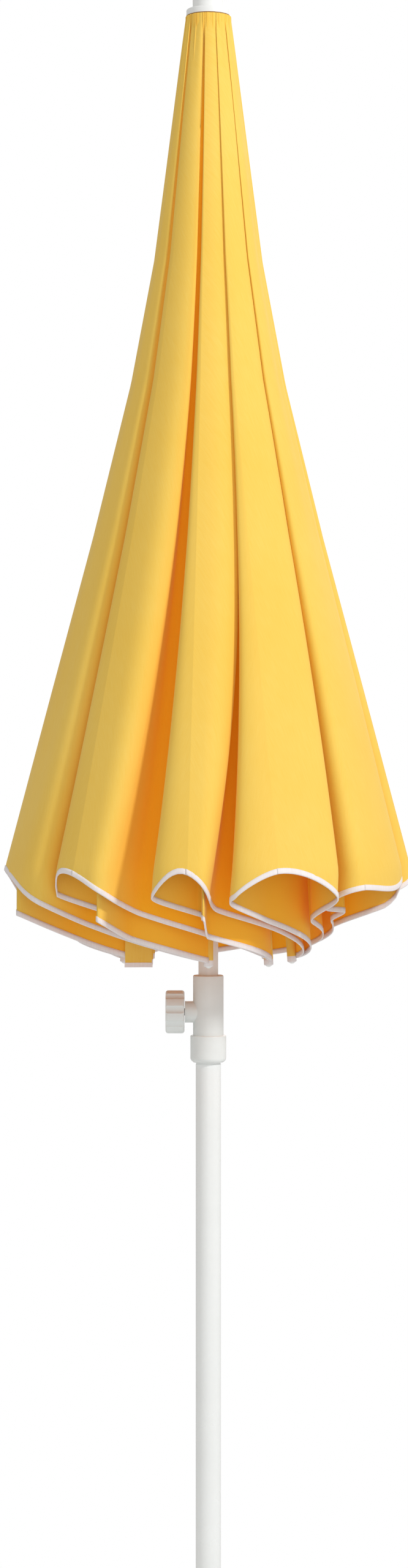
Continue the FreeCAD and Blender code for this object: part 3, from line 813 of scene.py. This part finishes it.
    def weights(self, points: np.ndarray, gore: int, layer: Layer) -> np.ndarray:
        """How far each point follows the gore's own body instead of its rib.

        Each row's points are spread so that, with the canopy open, they lie near the flat gore.

        Args:
            points: The folded grid.
            gore: The gore's index, from 0.
            layer: Which half.

        Returns:
            A weight for each point, 0 on the rib's seam and 1 on the fold.
        """
        rib = Hinge.of(self.joints, self.rib_body(gore, layer))
        own = Hinge.of(self.joints, self.own_body(gore, layer))
        out = outward((gore + layer.ribs_on) * RIB_STEP)
        spread = self.tilt + self.opening
        crown = (self.pivot_r * out + self.crown_z * UP) * MM
        rib_line = math.sin(spread) * out - math.cos(spread) * UP
        columns = np.linspace(0, self.columns, self.tried_columns).astype(int)
        rows = np.linspace(0, self.rows, self.tried_rows).astype(int)[1:]
        steps = np.linspace(0, 1, self.tried_weights)
        table, before = [], None
        for row in rows[::-1]:
            line = points[row, columns]
            opened = np.stack([rib.turned(own.turned(line, w * own.limit), self.opening) for w in steps])
            off, over = self.from_flat(opened * MM, crown, rib_line)
            before = self.spread_row(off, over, columns / self.columns, steps, before)
            table.insert(0, before)
        every_row, every_column = np.arange(self.rows + 1), np.arange(self.columns + 1)
        fine = np.stack([np.interp(every_column, columns, line) for line in table])
        for _ in range(3):
            fine[:, 1:-1] = (fine[:, :-2] + 2 * fine[:, 1:-1] + fine[:, 2:]) / 4
        result = np.stack([np.interp(every_row, rows, fine[:, c]) for c in every_column], axis=1)
        result[:, 0], result[:, -1] = 0.0, 1.0
        return result

    @staticmethod
    def from_flat(
        opened: np.ndarray, crown: np.ndarray, rib_line: np.ndarray,
    ) -> tuple[np.ndarray, np.ndarray]:
        """Measures a row, opened with every weight, against the flat gore.

        Args:
            opened: The row's points for each weight, in millimetres.
            crown: The rib's upper end, in millimetres.
            rib_line: The direction of the opened rib.

        Returns:
            Each point's height off the flat gore, and its distance from the rib, in millimetres.
        """
        fold = opened[-1, -1] - crown
        normal = np.cross(rib_line, fold)
        normal /= np.linalg.norm(normal)
        normal = normal if normal[2] > 0 else -normal
        side = np.cross(normal, rib_line)
        side = side if side @ fold > 0 else -side
        return (opened - crown) @ normal, (opened - crown) @ side

    def spread_row(
        self, off: np.ndarray, over: np.ndarray, share: np.ndarray, steps: np.ndarray,
        before: np.ndarray | None,
    ) -> np.ndarray:
        """Finds the weights that lay one row evenly on the flat gore, column by column.

        Args:
            off: Each column's height off the flat gore, for each weight.
            over: Each column's distance from the rib, for each weight.
            share: Each column's share of the way to the fold.
            steps: The weights that are tried.
            before: The weights of the row below, or nothing for the hem.

        Returns:
            Each column's weight.
        """
        miss = (off - (off[0, 0] * (1 - share) + off[-1, -1] * share)) ** 2
        stride = (over[-1, -1] - over[0, 0]) * np.diff(share)
        cost = np.full((len(share), len(steps)), np.inf)
        back = np.zeros((len(share), len(steps)), int)
        cost[0, 0] = 0.0
        for c in range(1, len(share)):
            ahead = over[:, c][:, None] - over[:, c - 1][None, :] - stride[c - 1]
            rise = off[:, c][:, None] - off[:, c - 1][None, :]
            total = cost[c - 1][None, :] + miss[:, c][:, None]
            total = total + self.evenness * ahead ** 2 + self.flatness * rise ** 2
            if before is not None:
                total = total + self.steadiness * (steps[:, None] - before[c]) ** 2
            back[c], cost[c] = total.argmin(axis=1), total.min(axis=1)
        path = [len(steps) - 1]
        for c in range(len(share) - 1, 0, -1):
            path.append(back[c, path[-1]])
        return steps[np.array(path[::-1])]

    # ---- meshes ----

    @staticmethod
    def rib_body(gore: int, layer: Layer) -> str:
        """The body of the rib that a half is sewn to."""
        return f"rib_{(gore + layer.ribs_on) % RIBS + 1}"

    @staticmethod
    def own_body(gore: int, layer: Layer) -> str:
        """The body that carries a half's fold."""
        return f"gore_{gore + 1}_{layer.value}"

    def bend(self, piece: Piece, weight: np.ndarray) -> None:
        """Lays a piece's points out along X by its weights, bakes its place into the mesh, and then puts
        the points back. The blend is measured along X, so the points are laid out along X by weight
        while it is declared, and then put back.

        Args:
            piece: The mesh object, with no parent.
            weight: Each vertex's weight.
        """
        mesh = piece.data
        real = np.empty(len(mesh.vertices) * 3, np.float32)
        mesh.vertices.foreach_get("co", real)
        spread = np.zeros((len(mesh.vertices), 3), np.float32)
        spread[:, 0] = 0.5 - np.sin(np.arcsin(np.clip(1 - 2 * weight, -1, 1)) / 3)
        mesh.vertices.foreach_set("co", spread.ravel())
        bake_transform(piece)
        mesh.vertices.foreach_set("co", real)
        mesh.update()

    @classmethod
    def mesh_piece(
        cls, name: str, points: np.ndarray, faces: list, cut: np.ndarray, finish: Finish, caps: int = 0,
    ) -> Piece:
        """A smooth mesh object with its cut map.

        Args:
            name: The piece's name.
            points: Its vertices.
            faces: Its faces, with any flat end caps last.
            cut: Each vertex's place on the flat cut, in metres.
            finish: Its finish.
            caps: How many end caps close it; a closed mesh has its faces turned outwards.

        Returns:
            The new object.
        """
        mesh = bpy.data.meshes.new(name)
        mesh.from_pydata(points.tolist(), [], faces)
        corners = np.empty(len(mesh.loops), np.int32)
        mesh.loops.foreach_get("vertex_index", corners)
        mesh.uv_layers.new(name=CUT).data.foreach_set("uv", cut[corners].astype(np.float32).ravel())
        mesh.materials.append(finish.build())
        mesh.polygons.foreach_set("use_smooth", np.arange(len(faces)) < len(faces) - caps)
        mesh.update()
        if caps and cls.signed_volume(mesh) < 0:
            mesh.flip_normals()
        piece = bpy.data.objects.new(name, mesh)
        bpy.context.scene.collection.objects.link(piece)
        return piece

    @staticmethod
    def signed_volume(mesh: Mesh) -> float:
        """The volume inside a closed mesh, below zero where its faces point inwards."""
        mesh.calc_loop_triangles()
        co = np.empty(len(mesh.vertices) * 3, np.float32)
        mesh.vertices.foreach_get("co", co)
        tri = np.empty(len(mesh.loop_triangles) * 3, np.int32)
        mesh.loop_triangles.foreach_get("vertices", tri)
        p = co.reshape(-1, 3)[tri.reshape(-1, 3)]
        return float(np.sum(p[:, 0] * np.cross(p[:, 1], p[:, 2])) / 6)

    @staticmethod
    def grid_faces(rows: int, columns: int, flip: bool) -> list:
        """The faces of a grid of vertices, wound one way or the other."""
        r, c = np.meshgrid(np.arange(rows), np.arange(columns), indexing="ij")
        a = (r * (columns + 1) + c).ravel()
        quads = np.column_stack([a, a + 1, a + columns + 2, a + columns + 1])
        return (quads[:, ::-1] if flip else quads).tolist()

    def build_half(self, gore: int, layer: Layer) -> None:
        """Builds one half of a gore and its binding.

        Args:
            gore: The gore's index.
            layer: Which half.
        """
        points = self.folded(gore, layer)
        weight = self.weights(points, gore, layer)
        name = f"canopy_cloth_{gore + 1}_{layer.value}"
        down, across = (np.linspace(0, 1, count + 1) for count in (self.rows, self.columns))
        widening = np.linspace(self.crown_share, 1, self.rows + 1)[:, None]
        width = self.half_width * across[None, :] * widening
        cut = np.stack([width, self.rib_length * down[:, None] + 0 * width], axis=-1).reshape(-1, 2)
        faces = self.grid_faces(self.rows, self.columns, layer is Layer.INNER)
        piece = self.mesh_piece(name, points.reshape(-1, 3), faces, cut, CANOPY_CLOTH)
        # Stores the mask of painted valley shade and glow for the cloth's material.
        valley_shade_glow = piece.data.attributes.new("valley_shade_glow", "FLOAT", "POINT")
        valley_shade_glow.data.foreach_set("value", self.valley_shade_glow(gore, layer).ravel().astype(np.float32))
        self.bend(piece, weight.ravel())
        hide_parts(f"canopy_gore_{gore + 1}_{layer.value}")
        sewn_on = [self.build_binding(points, weight, gore, layer)]
        if layer is Layer.INNER:
            sewn_on.append(self.pockets[gore + 1])
        area = 0.5 * self.half_width * self.gore_height
        share = sum(face.area for face in piece.data.polygons) / area
        log.info("%s: %d faces, %.2f of its flat area", name, len(faces), share)

    def valley_shade_glow(self, gore: int, layer: Layer) -> np.ndarray:
        """How deep each point lies between the lobes: the mask for the painted shade and glow that stand in
        for light reaching it through other cloth.

        Args:
            gore: The gore's index.
            layer: Which half.

        Returns:
            0 on a lobe's outside and 1 in the deepest valley, for each point.
        """
        share = self.plan(gore, layer)[:, 1]
        depth = np.clip((self.valley_from - share) / self.valley_fall, 0, 1)
        if layer is Layer.INNER:
            depth = depth * self.valley_inner
        down = np.linspace(0, 1, self.rows + 1)[:, None]
        return depth[None, :] * np.clip(down / self.valley_crown, self.valley_least, 1.0)

    def build_binding(self, points: np.ndarray, weight: np.ndarray, gore: int, layer: Layer) -> Piece:
        """Builds the white tape folded over a half-gore's hem, as a closed flat tube.

        Args:
            points: The cloth's grid.
            weight: The cloth's weights.
            gore: The gore's index.
            layer: Which half.

        Returns:
            The binding piece.
        """
        hem, weight = points[-1], weight[-1]
        up, along = unit(points[-4] - hem), unit(np.gradient(hem, axis=0))
        if layer is Layer.OUTER:
            hem, up, along = (np.vstack([a, a[-1:]]) for a in (hem, up, along))
            hem[-1] += along[-1] * self.binding_overlap
            weight = np.append(weight, weight[-1])
        out = unit(np.cross(along, up))
        t, h, lap = self.binding_thickness / 2, self.binding_height, self.binding_lap
        side = [(t, h), (t, 0.5 * h), (t, 0.1 * h), (0.6 * t, -lap)]
        section = side + [(-a, b) for a, b in side[::-1]]
        stitched = self.binding_pucker * np.sin(np.arange(len(hem)) * 2.4)[:, None]
        rings = [hem + out * (a + math.copysign(1, a) * stitched) + up * b for a, b in section]
        n, m = len(hem), len(section)
        i, j = np.meshgrid(np.arange(n - 1), np.arange(m), indexing="ij")
        a, b = (i * m + j).ravel(), (i * m + (j + 1) % m).ravel()
        faces = np.column_stack([a, b, b + m, a + m]).tolist()
        faces += [list(range(m))[::-1], list(range((n - 1) * m, n * m))]
        step = np.concatenate([[0], np.cumsum(np.linalg.norm(np.diff(hem, axis=0), axis=1))])
        girth = np.linspace(0, 2 * h, m)
        cut = np.stack(np.meshgrid(step, girth, indexing="ij"), axis=-1).reshape(-1, 2)
        name = f"hem_binding_{gore + 1}_{layer.value}"
        tube = np.stack(rings, axis=1).reshape(-1, 3)
        piece = self.mesh_piece(name, tube, faces, cut, BINDING_CLOTH, caps=2)
        self.bend(piece, np.repeat(weight, m))
        return piece

    def build(self) -> None:
        """Builds every half-gore with its binding."""
        for gore in range(RIBS):
            for layer in Layer:
                self.build_half(gore, layer)


# ---------------------------------------------------------------- small sewn and moulded pieces


class Bench:
    """Short calls round Blender's modelling operators."""

    @staticmethod
    def clear() -> None:
        """Deselects everything in object mode."""
        if bpy.context.mode != "OBJECT":
            bpy.ops.object.mode_set(mode="OBJECT")
        bpy.ops.object.select_all(action="DESELECT")

    @classmethod
    def only(cls, piece: Piece) -> None:
        """Selects one object and makes it active."""
        cls.clear()
        piece.select_set(True)
        bpy.context.view_layer.objects.active = piece

    @classmethod
    def edit(cls, piece: Piece) -> None:
        """Puts one object in edit mode with nothing selected."""
        cls.only(piece)
        bpy.ops.object.mode_set(mode="EDIT")
        bpy.ops.mesh.select_all(action="DESELECT")

    @staticmethod
    def pick_faces(piece: Piece, wanted: Callable[..., bool]) -> None:
        """Selects the faces for whose normal wanted holds, from edit mode, and goes back to it."""
        bpy.ops.mesh.select_mode(type="FACE")
        bpy.ops.object.mode_set(mode="OBJECT")
        for face in piece.data.polygons:
            face.select = bool(wanted(face.normal))
        bpy.ops.object.mode_set(mode="EDIT")

    @classmethod
    def finish(cls, piece: Piece, name: str, finish: Finish, smooth_deg: float) -> None:
        """Applies the place to the mesh, shades it and gives it its finish."""
        cls.only(piece)
        bpy.ops.object.transform_apply(location=True, rotation=True, scale=True)
        bpy.ops.object.shade_smooth_by_angle(angle=math.radians(smooth_deg))
        piece.name = piece.data.name = name
        piece.data.materials.clear()
        piece.data.materials.append(finish.build())

    @classmethod
    def apply(cls, piece: Piece, kind: str, **values: object) -> None:
        """Adds a modifier and applies it.

        Args:
            piece: The object.
            kind: The modifier's type.
            values: Its settings.
        """
        cls.only(piece)
        modifier = piece.modifiers.new(kind.lower(), kind)
        for label, value in values.items():
            setattr(modifier, label, value)
        bpy.ops.object.modifier_apply(modifier=modifier.name)

    @staticmethod
    def map_cut(piece: Piece, flat: Callable[..., tuple[float, float]]) -> None:
        """Lays a piece's cut map over it, from each vertex's place."""
        layer = piece.data.uv_layers.get(CUT) or piece.data.uv_layers.new(name=CUT)
        for loop in piece.data.loops:
            layer.data[loop.index].uv = flat(piece.data.vertices[loop.vertex_index].co)


@dataclass
class CrownPatch:
    """The doubled cloth disc between the hub and the collar, coloured dark brown as painted shade under the
    collar.
    """

    radius: float = 0.0243
    hole: float = 0.0033
    rolled: float = 0.0015
    stitched: float = 0.0008
    dip: float = 0.00012

    def build(self) -> None:
        """Builds the disc with a hole for the stud and a rolled edge, and stands it for the plain solid."""
        low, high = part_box("crown_patch")
        place = (0, 0, (low.z + high.z) / 2)
        Bench.clear()
        bpy.ops.mesh.primitive_cylinder_add(
            vertices=96, radius=self.radius, depth=high.z - low.z, location=place,
        )
        piece = bpy.context.object
        Bench.edit(piece)
        Bench.pick_faces(piece, lambda normal: abs(normal.z) > 0.9)
        bpy.ops.mesh.inset(thickness=self.rolled, depth=-self.dip)
        bpy.ops.mesh.inset(thickness=self.stitched, depth=self.dip)
        bpy.ops.mesh.inset(thickness=self.radius - self.hole - self.rolled - self.stitched)
        bpy.ops.mesh.bridge_edge_loops()
        Bench.finish(piece, "crown_patch_cloth", PATCH_SHADE_CLOTH, 50.0)
        Bench.map_cut(piece, lambda spot: (spot.x, spot.y))
        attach(piece, "upper")
        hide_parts("crown_patch")
        log.info("%s: %d faces", piece.name, len(piece.data.polygons))


@dataclass
class RibPockets:
    """The eight cloth pockets, bound at the mouth, that hold the ribs' ends at the hem."""

    canopy: Canopy
    radius: float = 0.0053
    squash: float = 0.97
    depth: float = 0.118
    past_tip: float = 0.0025
    band: float = 0.006
    seam_away: float = 0.02
    wall: float = 0.0007
    mouth: float = 0.004
    rounding: float = 0.0012
    foot_drop: float = 0.0008
    rings: tuple[float, ...] = (0.02, 0.04, 0.06, 0.08, 0.10)

    def build(self) -> dict[int, Piece]:
        """Builds one pocket along Z, and a copy of it on each rib.

        Returns:
            Each rib's number with its pocket.
        """
        Bench.clear()
        bpy.ops.mesh.primitive_cylinder_add(
            vertices=20, radius=self.radius, depth=self.depth, location=(0, 0, self.depth / 2),
        )
        pattern = bpy.context.object
        Bench.edit(pattern)
        Bench.pick_faces(pattern, lambda normal: normal.z > 0.9)
        bpy.ops.mesh.inset(thickness=self.wall)
        bpy.ops.mesh.extrude_region_move(TRANSFORM_OT_translate={"value": (0, 0, -self.mouth)})
        bpy.ops.mesh.select_all(action="DESELECT")
        Bench.pick_faces(pattern, lambda normal: normal.z < -0.9)
        bpy.ops.mesh.inset(thickness=self.rounding)
        bpy.ops.transform.translate(value=(0, 0, -self.foot_drop))
        for height in (self.band, *self.rings):
            bpy.ops.mesh.select_all(action="SELECT")
            bpy.ops.mesh.bisect(plane_co=(0, 0, height), plane_no=(0, 0, 1))
        Bench.finish(pattern, "rib_pocket", CANOPY_CLOTH, 60.0)
        pattern.data.materials.append(BINDING_CLOTH.build())
        for face in pattern.data.polygons:
            face.material_index = 1 if face.center.z < self.band else 0
        Bench.map_cut(pattern, lambda p: (self.seam_away + self.radius * math.atan2(p.y, p.x), p.z))
        made = {number: self.sewn(pattern, number) for number in range(1, RIBS + 1)}
        bpy.data.objects.remove(pattern)
        return made

    def sewn(self, pattern: Piece, number: int) -> Piece:
        """Copies the pocket onto a rib.

        Args:
            pattern: The pocket along Z, with its foot at the origin.
            number: The rib's number.

        Returns:
            The rib's own pocket.
        """
        tilt, out = self.canopy.tilt, outward((number - 1) * RIB_STEP)
        side = np.cross(UP, out)
        up = math.cos(tilt) * UP - math.sin(tilt) * out
        away = math.cos(tilt) * out + math.sin(tilt) * UP
        reach = self.canopy.rib_length + self.past_tip
        foot = out * self.canopy.pivot_r + UP * self.canopy.crown_z - up * reach
        mesh = pattern.data.copy()
        mesh.name = f"rib_pocket_{number}"
        for vertex in mesh.vertices:
            x, y, z = vertex.co
            vertex.co = foot + away * (x * self.squash) + side * y + up * z
        piece = bpy.data.objects.new(mesh.name, mesh)
        bpy.context.scene.collection.objects.link(piece)
        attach(piece, f"rib_{number}")
        log.info("%s: %d faces", mesh.name, len(mesh.polygons))
        return piece


@dataclass
class ClosingStrap:
    """The short bound tab of cloth that hangs at a rib's end and ties the folded canopy."""

    width: float = 0.029
    length: float = 0.050
    thickness: float = 0.0008
    rib: int = 6
    off_tip: float = 0.0115
    aside: float = -0.003
    above_tip: float = 0.001
    hem: tuple[float, float] = (-0.001, 0.004)
    hem_swell: float = 0.0006

    def build(self) -> None:
        """Builds the tab and its white end, hanging at its rib's tip."""
        low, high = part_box(f"rib_tip_{self.rib}")
        x, y = (low.x + high.x) / 2, (low.y + high.y) / 2
        grown = (math.hypot(x, y) + self.off_tip) / math.hypot(x, y)
        foot = (x * grown + self.aside, y * grown, low.z + self.above_tip)
        tab = self.strip("closing_strap", foot, (0.0, self.length), 0.0, CANOPY_CLOTH)
        hem = self.strip("closing_strap_binding", foot, self.hem, self.hem_swell, BINDING_CLOTH)

    def strip(
        self, name: str, foot: Triple, span: tuple[float, float], swell: float, finish: Finish,
    ) -> Piece:
        """Makes a gently waved strip of doubled cloth.

        Args:
            name: The piece's name.
            foot: The middle of the strap's lower edge.
            span: The strip's lower and upper edge, as heights above the foot.
            swell: How much thicker than the cloth it is on each side.
            finish: Its finish.

        Returns:
            The piece, riding on its rib.
        """
        Bench.clear()
        bpy.ops.mesh.primitive_grid_add(
            x_subdivisions=20, y_subdivisions=16, size=1.0, location=(0, 0, 0),
        )
        piece = bpy.context.object
        for vertex in piece.data.vertices:
            u, v = vertex.co.x, vertex.co.y
            rise = sum(span) / 2 + v * (span[1] - span[0])
            height = rise / self.length
            ruffle = 0.0012 * math.sin(5.0 * u + 0.6) + 0.0008 * math.sin(7.0 * height)
            curl = 0.009 * max(0.0, height - 0.45) ** 2
            vertex.co = (foot[0] + u * (self.width + 2 * swell), foot[1] + ruffle + curl, foot[2] + rise)
        piece.data.uv_layers[0].name = CUT
        Bench.map_cut(piece, lambda spot: (spot.x, spot.z))
        Bench.apply(piece, "SOLIDIFY", thickness=self.thickness + 2 * swell, offset=0.0)
        Bench.finish(piece, name, finish, 60.0)
        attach(piece, f"rib_{self.rib}")
        log.info("%s: %d faces", name, len(piece.data.polygons))
        return piece


# ---------------------------------------------------------------- frame and studio


@dataclass
class Frame:
    """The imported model's own pieces, which keep their shapes and get their finishes."""

    record: dict
    nodes: dict

    def dress(self) -> None:
        """Gives each piece the finish of its slot."""
        slots = {p["node"]: p["material_slot"] for p in self.record["subparts"]}
        for name, piece in self.nodes.items():
            finish = FRAME_FINISHES[slots[name]]
            material = finish.build()
            if not piece.material_slots:
                piece.data.materials.append(material)
            for slot in piece.material_slots:
                slot.material = material
            log.info("%s: %s", name, finish.name)


@dataclass(frozen=True)
class Lamp:
    """A square area light that faces its target."""

    name: str
    place: Triple
    target: Triple
    size: float
    power: float

    def build(self) -> None:
        """Adds the light."""
        data = bpy.data.lights.new(self.name, "AREA")
        data.size, data.energy = self.size, self.power
        lamp = bpy.data.objects.new(self.name, data)
        bpy.context.scene.collection.objects.link(lamp)
        lamp.location = self.place
        direction = lamp.location.copy()
        direction.xyz = [t - p for t, p in zip(self.target, self.place)]
        lamp.rotation_euler = direction.to_track_quat("-Z", "Y").to_euler()


@dataclass
class Studio:
    """A plain pale floor, soft lights and the camera."""

    distance: float = 3.6
    eye_height: float = 1.276
    eye_x: float = -0.0048
    view_height: float = 1.7485
    floor_radius: float = 1.55
    seen: tuple[Triple, float] = ((1.0, 1.0, 1.0), 1.0)
    lit: tuple[Triple, float] = ((1.0, 0.99, 0.97), 0.6)
    lamps: tuple[Lamp, ...] = (
        Lamp("key_light", (2.3, -2.0, 3.35), (0.0, 0.0, 1.4), 0.4, 66.0),
        Lamp("fill_light", (0.4, -3.6, 1.6), (0.0, 0.0, 1.4), 2.2, 14.0),
        Lamp("back_light", (0.6, 3.0, 2.8), (0.0, 0.0, 1.5), 2.0, 40.0),
    )

    def build(self) -> None:
        """Builds the floor, the lights, the world and the camera."""
        self.floor()
        for lamp in self.lamps:
            lamp.build()
        self.world()
        bpy.context.scene.view_settings.view_transform = "Standard"
        self.camera()

    def world(self) -> None:
        """Adds a world that the camera sees as white and that lights the object more softly."""
        world = bpy.data.worlds.new("studio")
        bpy.context.scene.world = world
        world.use_nodes = True
        tree = world.node_tree
        tree.nodes.clear()
        mix = tree.nodes.new("ShaderNodeMixShader")
        path = tree.nodes.new("ShaderNodeLightPath")
        tree.links.new(path.outputs["Is Camera Ray"], mix.inputs[0])
        for slot, (colour, strength) in zip(mix.inputs[1:], (self.lit, self.seen)):
            light = tree.nodes.new("ShaderNodeBackground")
            light.inputs["Color"].default_value = (*colour, 1.0)
            light.inputs["Strength"].default_value = strength
            tree.links.new(light.outputs[0], slot)
        output = tree.nodes.new("ShaderNodeOutputWorld")
        tree.links.new(mix.outputs[0], output.inputs["Surface"])

    def floor(self) -> None:
        """Adds the pale floor disc."""
        Bench.clear()
        bpy.ops.mesh.primitive_circle_add(
            vertices=128, radius=self.floor_radius, fill_type="NGON", location=(0, 0, 0),
        )
        disc = bpy.context.object
        disc.name = "studio_floor"
        disc.data.materials.append(FLOOR_PAINT.build())

    def camera(self) -> None:
        """Adds the camera, level with the canopy's hem and looking along +Y."""
        data = bpy.data.cameras.new("camera")
        data.lens = data.sensor_width * self.distance / self.view_height
        camera = bpy.data.objects.new("camera", data)
        bpy.context.scene.collection.objects.link(camera)
        camera.location = (self.eye_x, -self.distance, self.eye_height)
        camera.rotation_euler = (math.pi / 2, 0.0, 0.0)
        bpy.context.scene.camera = camera


def main() -> None:
    """Builds the object in order."""
    logging.basicConfig(level=logging.INFO, format="%(name)s %(message)s")
    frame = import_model()
    Studio().build()
    Frame(frame["record"], frame["nodes"]).dress()
    canopy = Canopy(joints=frame["joints"])
    canopy.pockets = RibPockets(canopy).build()
    canopy.build()
    CrownPatch().build()
    ClosingStrap().build()
    Bench.clear()


if __name__ == "__main__":
    main()
